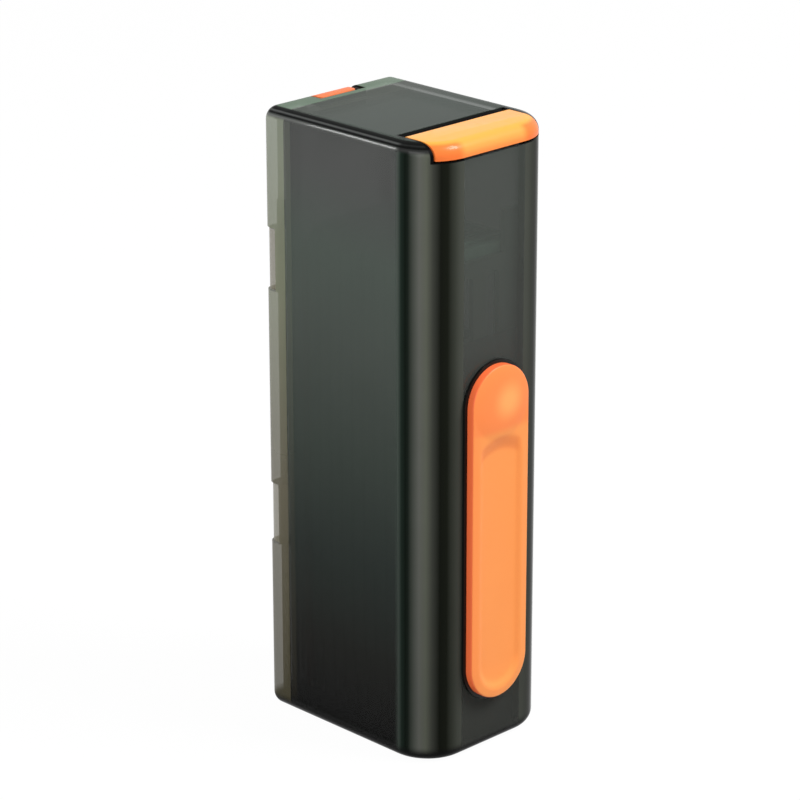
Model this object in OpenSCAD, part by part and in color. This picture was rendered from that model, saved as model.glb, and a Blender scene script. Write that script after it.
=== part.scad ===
/* [Case] */
// Height of the case
case_h = 94; // [92:0.5:104]
// Thickness of the side and front walls
wall = 1.3; // [1.1:0.05:1.4]
// Thickness of the floor
floor_t = 1.3; // [1.1:0.05:1.5]
// Thickness of the roof
roof_t = 1.3; // [1.1:0.05:1.5]
// Radius of the two upright front corners
front_corner_r = 7; // [6:0.25:7.5]
// Radius of the two upright rear corners and of the hinge barrel
rear_corner_r = 2; // [1.9:0.05:2.1]
// Rounding of the top and bottom edges
edge_r = 2; // [1.7:0.05:2]

/* [Flip lid] */
// How far the lid reaches past each side of the picks
lid_side = 1.15; // [1:0.05:1.4]
// Distance from the front face to the rear edge of the lid
lid_len = 8.25; // [8:0.05:8.5]
// Thickness of the lid's top plate
lid_t = 1.4; // [1.2:0.05:1.6]
// Height of the lid's front skirt
lid_skirt_h = 2.4; // [2.2:0.05:2.6]
// Thickness of the lid's front skirt
lid_skirt_t = 1.1; // [0.9:0.05:1.3]
// Thickness of the lid's side ribs
lid_rib_t = 0.6; // [0.5:0.05:0.7]
// Radius of the rounded rear edge, which is also the hinge
lid_hinge_r = 1.2; // [1.1:0.05:1.3]
// Gap round the lid
lid_gap = 0.22; // [0.15:0.01:0.3]
// Chamfer of the case behind the lid
mouth_chamfer = 0.45; // [0.4:0.05:0.6]
// Radius of the lid's pin
lid_pin_r = 0.6; // [0.5:0.05:0.65]
// Depth of each end of the lid's pin in the case
lid_pin_seat = 1.5; // [1.2:0.1:1.8]
// Half width of the bosses in the case that hold the pin's ends
lid_boss_r = 1.6; // [1.4:0.05:1.7]

/* [Slider] */
// Width of the thumb slider
pad_w = 11.5; // [11:0.1:12.5]
// Height of the thumb slider
pad_h = 51.6; // [51:0.2:54]
// Height of the slider's lower end above the base
pad_z = 8.5; // [7.5:0.1:9]
// Thickness of the thumb slider
pad_t = 1.2; // [1.1:0.05:1.6]
// Rounding of the slider's front edge
pad_edge_r = 0.25; // [0.15:0.05:0.4]
// Half width of the thumb groove
groove_half_w = 4; // [3.5:0.1:4.4]
// Depth of the thumb groove
groove_depth = 0.5; // [0.4:0.05:0.7]
// Length of the groove's rising ends
groove_end_l = 1.7; // [1.4:0.1:3]
// Distance from the slider's lower end to the groove
groove_margin = 2.6; // [2:0.1:4]
// Length of the raised part above the groove
brow_h = 10; // [9:0.1:12]
// Rise of the brow over the slider's face
brow_rise = 0.4; // [0.2:0.05:0.6]
// Flat margin beside the brow
brow_margin = 0.3; // [0.2:0.05:0.5]
// Thickness of the black carriage plate
carriage_t = 0.4; // [0.3:0.05:0.6]
// How far the carriage plate shows round the slider
carriage_rim = 0.5; // [0.3:0.05:0.6]
// Gap between the carriage and the front wall
carriage_gap = 0.1; // [0.08:0.01:0.2]
// Radius of the neck through the front wall
neck_r = 1.8; // [1.6:0.05:1.9]
// Travel of the slider
slider_travel = 24; // [22:0.5:24.2]
// How far the slider reaches past the upper end of its slot
slot_cover = 0.2; // [0.1:0.05:0.4]
// Clearance of the neck in its slot
neck_gap = 0.2; // [0.15:0.05:0.3]

/* [Inner slide] */
// Gap between the inner slide's sides and the case
sled_side_gap = 0.4; // [0.3:0.05:0.8]
// Thickness of the inner slide plate
sled_t = 0.7; // [0.6:0.05:0.75]
// Height of the inner slide's top edge above the base
sled_top_z = 63.3; // [62:0.1:65]
// Gap between the front wall and the inner slide
sled_gap = 0.4; // [0.3:0.05:0.5]
// Radius of each guide lug
lug_r = 1.05; // [0.9:0.05:1.1]
// Distance of each guide lug from the middle
lug_x = 2.65; // [2.5:0.05:2.9]
// Height of the guide lugs above the base
lug_z = 47.4; // [47:0.1:48]
// Width of the pusher foot
foot_w = 3.2; // [2.8:0.1:3.6]
// Thickness of the pusher foot
foot_t = 0.7; // [0.6:0.05:0.7]
// How far the foot reaches past the side of the toothpick's tip
foot_side = 0.4; // [0.2:0.05:0.4]
// Gap between the foot and the floor
foot_gap = 0.2; // [0.1:0.05:0.2]

/* [Guide plate] */
// Gap between the guide plate's sides and the case
guide_side_gap = 0.45; // [0.3:0.05:0.8]
// Thickness of the guide plate
guide_t = 0.8; // [0.7:0.05:0.9]
// Height of the guide plate's top edge above the base
guide_top_z = 81.3; // [80:0.1:83]
// Width of the notch in the guide plate's top
notch_w = 9.5; // [9:0.1:10]
// Height of the notch's floor above the base
notch_z = 75; // [74.5:0.1:76]
// Width of each guide slot
guide_slot_w = 2.3; // [2.25:0.05:2.4]
// Height of the guide slots' upper ends above the base
guide_slot_top_z = 72.8; // [72.6:0.1:73.5]
// Gap between the inner slide and the guide plate
guide_gap = 0.2; // [0.15:0.05:0.25]
// Gap below the guide lugs at the foot of their slots
lug_gap = 0.2; // [0.1:0.05:0.3]
// Gap round the foot in the guide plate
foot_way_gap = 0.3; // [0.2:0.05:0.5]
// How far the foot's way runs past the foot's highest place
foot_way_over = 1; // [0.5:0.1:2]
// Gap between the guide plate and the inner box
guide_rear_gap = 0.1; // [0.05:0.01:0.12]

/* [Floss picks] */
// Number of picks, with the front one
pick_count = 11; // [9:1:11]
// Overall length of a pick
pick_len = 74.1; // [73:0.1:74.5]
// Overall width of a pick
pick_w = 18.4; // [18:0.1:18.8]
// Thickness of a pick
pick_t = 2; // [1.8:0.05:2.05]
// Distance from one pick to the next
pick_pitch = 2.3; // [2.25:0.05:2.3]
// Width of the handle
handle_w = 2.8; // [2.4:0.1:3.2]
// Height of the bow
bow_h = 19; // [18:0.5:21]
// Width of the bow's arms
arm_w = 2.6; // [2.2:0.1:2.8]
// Radius of the bow's outer corners
bow_r = 4; // [3.5:0.25:4.5]
// Radius of the bow's inner corners
bow_inner_r = 2.2; // [1.8:0.1:2.6]
// Length of the toothpick end
tail_len = 15; // [12:0.5:18]
// Radius of the toothpick's tip
tail_tip_r = 0.6; // [0.5:0.05:0.7]
// Radius of the floss strand
floss_r = 0.3; // [0.25:0.05:0.4]
// Distance of the floss from the arms' tips
floss_inset = 1.7; // [1.5:0.1:2]
// Height of the lowest point of the picks above the base
pick_z = 2.4; // [2.35:0.05:2.6]

/* [Magazine] */
// Gap between the picks and each side wall of the inner box
pick_side_gap = 1.45; // [1.2:0.05:2]
// Wall thickness of the inner box
liner_t = 0.9; // [0.7:0.05:1]
// Gap between the inner box and the case walls
liner_gap = 0.25; // [0.2:0.05:0.3]
// Height of the cut-out for the lid's bosses below them
liner_relief_h = 1.5; // [1:0.1:3]
// Gap between the inner box's roof and the edge of the mouth
liner_mouth_gap = 0.3; // [0.2:0.05:0.5]
// Gap between the front pick's lane and the floor under the stack
lane_floor_gap = 0.3; // [0.2:0.05:0.4]
// Gap between the picks and the guide plate
front_lane_gap = 0.2; // [0.15:0.05:0.3]
// Distance of the inner box's rear rim from the rear face of the case
liner_rear_gap = 4.3; // [4.2:0.1:4.5]

/* [Refill door] */
// Thickness of the door panel
door_t = 1.5; // [1.3:0.05:1.6]
// Gap round the door
door_gap = 0.2; // [0.15:0.05:0.25]
// Depth of the stiffening rim inside the door
door_rim_h = 1.1; // [0.9:0.05:1.2]
// Width of the stiffening rim
door_rim_w = 0.8; // [0.7:0.05:1]
// Distance of the rim from the upright edges of the panel
door_rim_side = 0.4; // [0.3:0.05:0.6]
// Distance of the rim from the upper and lower edges of the panel
door_rim_end = 0.6; // [0.4:0.05:1]
// Distance of the panel's hinge edge from the hinge axis
door_edge_x = 1.3; // [1.2:0.05:1.5]
// Radius of the door's hinge knuckles
knuckle_r = 1.75; // [1.65:0.05:1.75]
// Depth of the case's cut-out in front of the hinge axis, beside a knuckle
knuckle_relief_d = 0.8; // [0.6:0.05:1]
// How far a knuckle's web reaches inside the panel
knuckle_web_d = 0.2; // [0.1:0.05:0.3]
// Height of each knuckle
knuckle_h = 9.2; // [8.5:0.1:9.8]
// Height of the lower knuckle's middle above the base
lower_knuckle_z = 31.5; // [30:0.5:33]
// Height of the upper knuckle's middle above the base
upper_knuckle_z = 71.2; // [70:0.2:73]
// Radius of the door's pin
door_pin_r = 0.55; // [0.5:0.05:0.6]
// Length of the door's pin above the upper knuckle
door_pin_over = 4; // [3:0.5:6]
// Running clearance of both hinge pins
pin_gap = 0.05; // [0.02:0.01:0.08]

/* [Latch] */
// Width of the latch tab
tab_w = 9; // [8.5:0.1:9.4]
// Offset of the latch tab's middle from the case's middle
tab_x = -0.5; // [-0.6:0.1:0]
// Depth of the latch tab
tab_d = 4.8; // [4.4:0.1:5]
// Thickness of the latch tab
tab_t = 1.3; // [1.2:0.05:1.4]
// Travel of the latch
latch_travel = 1.2; // [1:0.05:1.2]
// Gap beside the latch tab
latch_gap = 0.5; // [0.45:0.05:0.6]
// Width of the latch's stem
stem_w = 6; // [5:0.5:6.5]
// Height of the latch's stem
stem_h = 5; // [4:0.5:6]
// Thickness of the latch's stem
stem_t = 0.8; // [0.7:0.05:0.9]
// Wall round the latch's stem
stem_wall = 0.6; // [0.5:0.05:0.7]
// Gap on each face of the latch's stem
stem_gap = 0.1; // [0.05:0.01:0.15]
// Thickness of the pocket's floor below the stem
stem_floor = 0.8; // [0.6:0.05:1]

/* [Follower] */
// Thickness of the follower plate
follower_t = 1; // [0.9:0.05:1.1]
// How far the follower plate reaches past the sides of the picks
follower_side = 0.1; // [0:0.05:0.3]
// Height of the follower plate's top edge above the base
follower_top_z = 74; // [72:0.5:75]
// Height of the follower plate's bottom edge above the base
follower_bottom_z = 3; // [2.6:0.1:4]
// Travel of the follower towards the door
follower_travel = 0.9; // [0.6:0.05:0.9]
// Gap between the stack and the follower
follower_gap = 0.2; // [0.15:0.05:0.25]
// Room for the springs between the follower and the door
spring_room = 2.9; // [2.85:0.05:3.4]
// Radius of the spigots inside the springs
spigot_r = 1.2; // [1:0.05:1.3]
// Length of the spigots
spigot_len = 1.4; // [1.2:0.1:1.5]
// Height of the lower spring above the base
lower_spring_z = 22; // [18:1:28]
// Height of the upper spring above the base
upper_spring_z = 58; // [54:1:62]
// Radius of the windows in the follower plate
window_r = 2.5; // [2:0.1:3]
// Height of the windows in the follower plate
window_h = 24; // [20:0.5:26]
// Radius of the spring wire
spring_wire_r = 0.25; // [0.2:0.01:0.25]
// Mean radius of the spring at the follower
spring_small_r = 1.8; // [1.7:0.05:2]
// Mean radius of the spring at the door
spring_large_r = 4.2; // [4:0.05:4.5]
// Turns of each spring
spring_turns = 3.5; // [3:0.5:3.5]
// Gap between the springs and the door panel
spring_gap = 0.05; // [0:0.01:0.1]

/* [Hidden] */
$fn = 64;
eps = 0.05;

smoke = [0.30, 0.32, 0.30, 0.45];
dark_smoke = [0.16, 0.17, 0.17, 0.55];
tan_smoke = [0.45, 0.41, 0.33, 0.5];
orange = [1.0, 0.56, 0.25];
black = [0.05, 0.05, 0.05];
steel = [0.75, 0.75, 0.77];
pick_green = [0.72, 0.86, 0.78];
floss_white = [0.95, 0.96, 0.95];

// Faces of the case, whose width and depth follow the stack of picks
front_parts_d = wall + sled_gap + sled_t + guide_gap + guide_t + front_lane_gap;
stack_d = (pick_count - 1) * pick_pitch + pick_t;
rear_parts_d = follower_gap + follower_t + spring_room + door_t;
case_d = front_parts_d + stack_d + rear_parts_d;
front_y = -case_d / 2;
rear_y = case_d / 2;
side_x = pick_w / 2 + pick_side_gap + liner_t + liner_gap + wall;

// Faces that the slide, the guide plate and the picks take their places from
inner_front_y = front_y + wall;
sled_y = inner_front_y + sled_gap;
guide_y = sled_y + sled_t + guide_gap;
first_pick_y = guide_y + guide_t + front_lane_gap;
stack_rear_y = first_pick_y + stack_d;
follower_y = stack_rear_y + follower_gap;
door_y = rear_y - door_t;

// Lid
lid_w = pick_w + 2 * lid_side;
lid_rear_y = front_y + lid_len;
lid_axis_y = lid_rear_y - lid_hinge_r;
lid_axis_z = case_h - lid_hinge_r;
lid_bottom_z = case_h - lid_skirt_h;
mouth_half_w = lid_w / 2 + lid_gap;
mouth_rear_y = lid_rear_y + lid_gap;
mouth_z = lid_bottom_z - lid_gap;
lid_pin_len = 2 * (mouth_half_w + lid_pin_seat);

// Slider
pad_r = pad_w / 2;
carriage_y = front_y - carriage_gap - carriage_t;
pad_y = carriage_y - pad_t;
slot_r = neck_r + neck_gap;
slot_top_z = pad_z + pad_h - slot_cover;
slot_bottom_z = slot_top_z - slider_travel - 2 * slot_r;
neck_z = slot_bottom_z + slot_r;
guide_slot_r = guide_slot_w / 2;
sled_half_w = cavity_half_w(sled_y) - sled_side_gap;
guide_half_w = cavity_half_w(guide_y) - guide_side_gap;
lug_len = guide_gap + guide_t;

// Inner box
liner_half_w = side_x - wall - liner_gap;
liner_front_y = guide_y + guide_t + guide_rear_gap;
liner_rear_y = rear_y - liner_rear_gap;
liner_top_z = case_h - roof_t - liner_gap;
stack_floor_y = first_pick_y + pick_t + lane_floor_gap;

// Hinge of the refill door, in the rear left corner
hinge_x = -side_x + rear_corner_r;
hinge_y = rear_y - rear_corner_r;
door_left_x = hinge_x + door_edge_x;
rim_left_x = hinge_x + rear_corner_r + door_gap + door_rim_side;
door_right_x = side_x - rear_corner_r - door_gap;
door_bottom_z = edge_r + door_gap;
door_top_z = case_h - edge_r - door_gap;
rim_right_x = door_right_x - door_rim_side;
lip_y = door_y - door_gap;
knuckle_zs = [lower_knuckle_z, upper_knuckle_z];
knuckle_relief_y = hinge_y - knuckle_relief_d;
door_pin_top_z = upper_knuckle_z + knuckle_h / 2 + door_pin_over;

// Latch
tab_front_y = rear_y - tab_d;
tab_left_x = tab_x - tab_w / 2;
tab_right_x = tab_x + tab_w / 2;
stem_y = door_y - stem_wall - stem_t - stem_gap;
stem_bottom_z = door_top_z - stem_h;
latch_pocket_left_x = tab_x - stem_w / 2 - door_gap;
latch_pocket_right_x = tab_x + stem_w / 2 + latch_travel + door_gap;
pocket_y = stem_y - stem_gap;
pocket_bottom_z = stem_bottom_z - door_gap;

// Picks
pick_left_x = -pick_w / 2;
pick_right_x = pick_w / 2;
pick_top_z = pick_z + pick_len;
handle_mid_x = pick_left_x + handle_w / 2;
foot_left_x = handle_mid_x - tail_tip_r - foot_side;
foot_right_x = foot_left_x + foot_w;
floss_x = pick_right_x - floss_inset;
bow_z = pick_top_z - bow_h;
follower_half_w = pick_w / 2 + follower_side;

spring_y0 = follower_y + follower_t + spring_wire_r;
spring_y1 = door_y - spring_wire_r - spring_gap;

// Half width of the room inside the case, at a distance from its front
function cavity_half_w(y) =
    side_x - front_corner_r
    + sqrt(pow(front_corner_r - wall, 2) - pow(max(0, front_y + front_corner_r - y), 2));

// Upright corner: a turned quarter with rounded ends
module corner_profile(r) {
    difference() {
        square([r, case_h]);
        translate([r - edge_r, 0]) edge_cutter();
        translate([r - edge_r, case_h]) mirror([0, 1]) edge_cutter();
    }
}

// What a rounded edge takes off a square one
module edge_cutter() {
    difference() {
        translate([0, -eps]) square([edge_r + eps, edge_r + eps]);
        translate([0, edge_r]) circle(r = edge_r);
    }
}

// Quarter of an upright corner that faces the given angle
module corner_quarter(x, y, r, angle) {
    translate([x, y, 0])
        rotate([0, 0, angle])
            rotate_extrude(angle = 90)
                corner_profile(r);
}

// Straight stretch of side with rounded top and bottom edges
module side_stretch(x, y, r, length, angle) {
    translate([x, y, 0])
        rotate([0, 0, angle])
            rotate([90, 0, 0])
                linear_extrude(length)
                    corner_profile(r);
}

// The whole outer form of the case, solid
module outer_form() {
    front_x = side_x - front_corner_r;
    front_c = front_y + front_corner_r;
    rear_x = side_x - rear_corner_r;
    rear_c = rear_y - rear_corner_r;
    union() {
        corner_quarter(-front_x, front_c, front_corner_r, 180);
        corner_quarter(front_x, front_c, front_corner_r, 270);
        corner_quarter(rear_x, rear_c, rear_corner_r, 0);
        corner_quarter(-rear_x, rear_c, rear_corner_r, 90);
        side_stretch(front_x, front_c, front_corner_r, 2 * front_x, 270);
        side_stretch(rear_x, rear_c, rear_corner_r, rear_c - front_c, 0);
        side_stretch(-rear_x, front_c, rear_corner_r, rear_c - front_c, 180);
        side_stretch(-rear_x, rear_c, rear_corner_r, 2 * rear_x, 90);
        translate([-rear_x, front_c, 0]) cube([2 * rear_x, rear_c - front_c, case_h]);
    }
}

// Inside of the case in plan, out to the lip round the door
module cavity_plan() {
    r = front_corner_r - wall;
    x = side_x - wall;
    cx = side_x - front_corner_r;
    cy = front_y + front_corner_r;
    union() {
        for (s = [-1, 1])
            translate([s * cx, cy]) circle(r = r);
        translate([-cx, inner_front_y]) square([2 * cx, front_corner_r]);
        translate([-x, cy]) square([2 * x, lip_y - cy]);
    }
}

// Upright slot with round ends, cut along the depth
module round_slot(x, z0, z1, r, y0, y1) {
    translate([x, y1, 0])
        rotate([90, 0, 0])
            linear_extrude(y1 - y0) {
                translate([0, z0 + r]) circle(r = r);
                translate([0, z1 - r]) circle(r = r);
                translate([-r, z0 + r]) square([2 * r, z1 - z0 - 2 * r]);
            }
}

// Box between two corners
module span(low, high) {
    translate(low) cube(high - low);
}

// Space of the lid in the case, with the chamfered edge behind it
module lid_mouth() {
    c = mouth_chamfer;
    translate([-mouth_half_w, 0, 0])
        rotate([90, 0, 90])
            linear_extrude(2 * mouth_half_w)
                polygon([
                    [front_y - 1, mouth_z],
                    [mouth_rear_y, mouth_z],
                    [mouth_rear_y, case_h - c],
                    [mouth_rear_y + c + 1, case_h + 1],
                    [front_y - 1, case_h + 1]
                ]);
}

module rear_mouth() {
    span([hinge_x, lip_y - eps, edge_r],
         [side_x - rear_corner_r, rear_y + 1, case_h - edge_r]);
}

module latch_notch() {
    span([tab_left_x - latch_gap, tab_front_y - latch_gap, case_h - edge_r - eps],
         [tab_right_x + latch_travel + latch_gap, rear_y + 1, case_h + 1]);
}

module knuckle_relief(z) {
    z0 = z - knuckle_h / 2 - door_gap;
    h = knuckle_h + 2 * door_gap;
    translate([hinge_x, hinge_y, z0]) cylinder(r = knuckle_r + door_gap, h = h);
    span([-side_x - 1, knuckle_relief_y, z0], [rim_left_x, rear_y + 1, z0 + h]);
}

module lid_boss(side) {
    x0 = mouth_half_w;
    x1 = side_x - wall + eps;
    y0 = lid_axis_y - lid_boss_r;
    y1 = lid_axis_y + lid_boss_r;
    z0 = lid_axis_z - lid_boss_r;
    mirror([side > 0 ? 0 : 1, 0, 0])
        span([x0, y0, z0], [x1, y1, case_h - roof_t + eps]);
}

module case_shell() {
    color(smoke)
    difference() {
        union() {
            difference() {
                outer_form();
                translate([0, 0, floor_t])
                    linear_extrude(case_h - floor_t - roof_t)
                        cavity_plan();
                rear_mouth();
            }
            translate([hinge_x, hinge_y, edge_r])
                cylinder(r = rear_corner_r, h = case_h - 2 * edge_r);
            lid_boss(-1);
            lid_boss(1);
        }
        lid_mouth();
        latch_notch();
        round_slot(0, slot_bottom_z, slot_top_z, slot_r, front_y - 1, inner_front_y + 1);
        for (z = knuckle_zs)
            knuckle_relief(z);
        translate([hinge_x, hinge_y, -1])
            cylinder(r = door_pin_r + pin_gap, h = door_pin_top_z + pin_gap + 1);
        translate([-lid_pin_len / 2 - pin_gap, lid_axis_y, lid_axis_z])
            rotate([0, 90, 0])
                cylinder(r = lid_pin_r + pin_gap, h = lid_pin_len + 2 * pin_gap);
    }
}

module magazine_liner() {
    w = liner_half_w;
    floor_z = floor_t;
    color(dark_smoke)
    difference() {
        span([-w, liner_front_y, floor_z], [w, liner_rear_y, liner_top_z]);
        span([-w + liner_t, liner_front_y - 1, floor_z + liner_t],
             [w - liner_t, liner_rear_y + 1, liner_top_z - liner_t]);
        span([-w + liner_t, liner_front_y - 1, floor_z - 1],
             [w - liner_t, stack_floor_y, floor_z + liner_t + eps]);
        span([-w - 1, liner_front_y - 1, lid_axis_z - lid_boss_r - liner_relief_h],
             [w + 1, mouth_rear_y + liner_mouth_gap, liner_top_z + 1]);
        // Front edges, cut back where the case's corners are round
        for (s = [-1, 1])
            linear_extrude(3 * case_h, center = true)
                liner_corner_cut(s);
    }
}

module liner_corner_cut(side) {
    cx = side_x - front_corner_r;
    cy = front_y + front_corner_r;
    r = front_corner_r - wall - liner_gap;
    difference() {
        translate([side > 0 ? cx : -cx - front_corner_r, cy - front_corner_r])
            square(front_corner_r);
        translate([side * cx, cy]) circle(r = r);
    }
}

module guide_plate() {
    w = guide_half_w;
    color(smoke)
    difference() {
        span([-w, guide_y, floor_t], [w, guide_y + guide_t, guide_top_z]);
        span([-notch_w / 2, guide_y - 1, notch_z],
             [notch_w / 2, guide_y + guide_t + 1, guide_top_z + 1]);
        for (s = [-1, 1])
            round_slot(s * lug_x, lug_z - lug_r - lug_gap, guide_slot_top_z, guide_slot_r,
                       guide_y - 1, guide_y + guide_t + 1);
        // Way for the pusher foot
        span([-w - 1, guide_y - 1, floor_t - 1],
             [foot_right_x + foot_way_gap, guide_y + guide_t + 1,
              pick_z + slider_travel + foot_way_over]);
    }
}

module lid_hinge_pin() {
    color(steel)
        translate([-lid_pin_len / 2, lid_axis_y, lid_axis_z])
            rotate([0, 90, 0])
                cylinder(r = lid_pin_r, h = lid_pin_len);
}

module door_hinge_pin() {
    z0 = edge_r;
    color(steel)
        translate([hinge_x, hinge_y, z0])
            cylinder(r = door_pin_r, h = door_pin_top_z - z0);
}

module flip_lid() {
    w = lid_w / 2;
    color(orange)
    difference() {
        union() {
            difference() {
                intersection() {
                    outer_form();
                    span([-w, front_y - 1, lid_bottom_z], [w, lid_axis_y, case_h + 1]);
                }
                translate([0, 0, lid_bottom_z - 1])
                    linear_extrude(lid_skirt_h - lid_t + 1)
                        lid_hollow_plan();
            }
            translate([-w, lid_axis_y, lid_axis_z])
                rotate([0, 90, 0])
                    cylinder(r = lid_hinge_r, h = lid_w);
        }
        translate([-w - 1, lid_axis_y, lid_axis_z])
            rotate([0, 90, 0])
                cylinder(r = lid_pin_r + pin_gap, h = lid_w + 2);
    }
}

// Underside of the lid in plan, inside its ribs and skirt
module lid_hollow_plan() {
    w = lid_w / 2 - lid_rib_t;
    r = front_corner_r - lid_skirt_t;
    cx = side_x - front_corner_r;
    cy = front_y + front_corner_r;
    intersection() {
        union() {
            for (s = [-1, 1])
                translate([s * cx, cy]) circle(r = r);
            translate([-cx, cy - r]) square([2 * cx, 2 * r]);
        }
        translate([-w, front_y]) square([2 * w, lid_axis_y - front_y]);
    }
}

// Outline of the slider, seen from the front
module pad_outline(rim) {
    r = pad_r + rim;
    translate([0, pad_z + pad_r]) circle(r = r);
    translate([0, pad_z + pad_h - pad_r]) circle(r = r);
    translate([-r, pad_z + pad_r]) square([2 * r, pad_h - pad_w]);
}

// Half of the slider's cross-section, with its front edge rounded
module pad_profile() {
    difference() {
        square([pad_r, pad_t]);
        translate([pad_r - pad_edge_r, pad_t - pad_edge_r])
            difference() {
                square(pad_edge_r + eps);
                circle(r = pad_edge_r);
            }
    }
}

module pad_end(z, flip) {
    translate([0, carriage_y, z])
        rotate([90, 0, 0])
            rotate([0, 0, flip])
                rotate_extrude(angle = 180)
                    pad_profile();
}

// Radius of an arc from half its chord and its rise
function arc_r(half, rise) = (half * half + rise * rise) / (2 * rise);

// End of the thumb groove, which turns up to the slider's face
module groove_end(z, groove_r) {
    end_r = arc_r(groove_end_l, groove_depth);
    translate([0, pad_y + groove_depth - end_r, z])
        rotate([0, 90, 0])
            rotate_extrude()
                intersection() {
                    translate([end_r - groove_r, 0]) circle(r = groove_r, $fn = 180);
                    translate([0, -groove_half_w]) square([end_r, 2 * groove_half_w]);
                }
}

module slider_pad() {
    groove_r = arc_r(groove_half_w, groove_depth);
    groove_y = pad_y + groove_depth - groove_r;
    groove_z0 = pad_z + groove_margin + groove_end_l;
    groove_z1 = pad_z + pad_h - brow_h - groove_end_l;
    brow_half_w = pad_r - pad_edge_r - brow_margin;
    brow_r = arc_r(brow_half_w, brow_rise);
    color(orange)
    difference() {
        union() {
            pad_end(pad_z + pad_r, 180);
            pad_end(pad_z + pad_h - pad_r, 0);
            for (s = [0, 1])
                mirror([s, 0, 0])
                    translate([0, carriage_y, pad_z + pad_r])
                        linear_extrude(pad_h - pad_w)
                            mirror([0, 1]) pad_profile();
            intersection() {
                translate([0, pad_y - brow_rise + brow_r, pad_z + pad_h - pad_r])
                    sphere(r = brow_r, $fn = 96);
                span([-pad_r, pad_y - 1, pad_z + pad_h - pad_w], [pad_r, pad_y + eps, pad_z + pad_h]);
            }
        }
        translate([0, groove_y, groove_z0])
            cylinder(r = groove_r, h = groove_z1 - groove_z0, $fn = 180);
        groove_end(groove_z0, groove_r);
        groove_end(groove_z1, groove_r);
    }
}

module slider_carriage() {
    color(black)
    union() {
        translate([0, carriage_y + carriage_t, 0])
            rotate([90, 0, 0])
                linear_extrude(carriage_t)
                    pad_outline(carriage_rim);
        translate([0, sled_y + sled_t, neck_z])
            rotate([90, 0, 0])
                cylinder(r = neck_r, h = sled_y + sled_t - carriage_y - carriage_t + eps);
    }
}

module slider_sled() {
    foot_z = floor_t + foot_gap;
    color(dark_smoke)
    difference() {
        union() {
            span([-sled_half_w, sled_y, foot_z], [sled_half_w, sled_y + sled_t, sled_top_z]);
            for (s = [-1, 1])
                translate([s * lug_x, sled_y + sled_t + lug_len, lug_z])
                    rotate([90, 0, 0])
                        cylinder(r = lug_r, h = lug_len + eps);
            span([foot_left_x, sled_y + sled_t - eps, foot_z],
                 [foot_right_x, first_pick_y + pick_t, foot_z + foot_t]);
        }
        translate([0, sled_y + sled_t + 1, neck_z])
            rotate([90, 0, 0])
                cylinder(r = neck_r, h = sled_t + 2);
    }
}

// One pick, seen from the front
module pick_outline() {
    r_in = bow_inner_r;
    difference() {
        union() {
            translate([pick_left_x + bow_r, bow_z + bow_r]) circle(r = bow_r);
            translate([pick_left_x + bow_r, pick_top_z - bow_r]) circle(r = bow_r);
            translate([pick_left_x, bow_z + bow_r]) square([bow_r, bow_h - 2 * bow_r]);
            translate([pick_left_x + bow_r, bow_z])
                square([pick_w - bow_r - arm_w / 2, bow_h]);
            for (z = [bow_z + arm_w / 2, pick_top_z - arm_w / 2])
                translate([pick_right_x - arm_w / 2, z]) circle(r = arm_w / 2);
            translate([pick_left_x, pick_z + tail_len])
                square([handle_w, bow_z + bow_r - pick_z - tail_len]);
            polygon([
                [pick_left_x, pick_z + tail_len],
                [handle_mid_x - tail_tip_r, pick_z + tail_tip_r],
                [handle_mid_x + tail_tip_r, pick_z + tail_tip_r],
                [pick_left_x + handle_w, pick_z + tail_len]
            ]);
            translate([handle_mid_x, pick_z + tail_tip_r]) circle(r = tail_tip_r);
        }
        translate([pick_left_x + handle_w + r_in, bow_z + arm_w])
            square([pick_w, bow_h - 2 * arm_w]);
        translate([pick_left_x + handle_w, bow_z + arm_w + r_in])
            square([pick_w, bow_h - 2 * arm_w - 2 * r_in]);
        translate([pick_left_x + handle_w + r_in, bow_z + arm_w + r_in]) circle(r = r_in);
        translate([pick_left_x + handle_w + r_in, pick_top_z - arm_w - r_in]) circle(r = r_in);
    }
}

module pick(index) {
    y = first_pick_y + (index - 1) * pick_pitch;
    color(pick_green)
        translate([0, y + pick_t, 0])
            rotate([90, 0, 0])
                linear_extrude(pick_t)
                    pick_outline();
}

module floss(index) {
    y = first_pick_y + (index - 1) * pick_pitch + pick_t / 2;
    z0 = bow_z + arm_w;
    z1 = pick_top_z - arm_w;
    color(floss_white)
        translate([floss_x, y, z0])
            cylinder(r = floss_r, h = z1 - z0);
}

module stack_floss_strands() {
    for (i = [2 : pick_count])
        floss(i);
}

module rim_plan(x0, x1, z0, z1, w) {
    difference() {
        translate([x0, z0]) square([x1 - x0, z1 - z0]);
        translate([x0 + w, z0 + w]) square([x1 - x0 - 2 * w, z1 - z0 - 2 * w]);
    }
}

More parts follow.
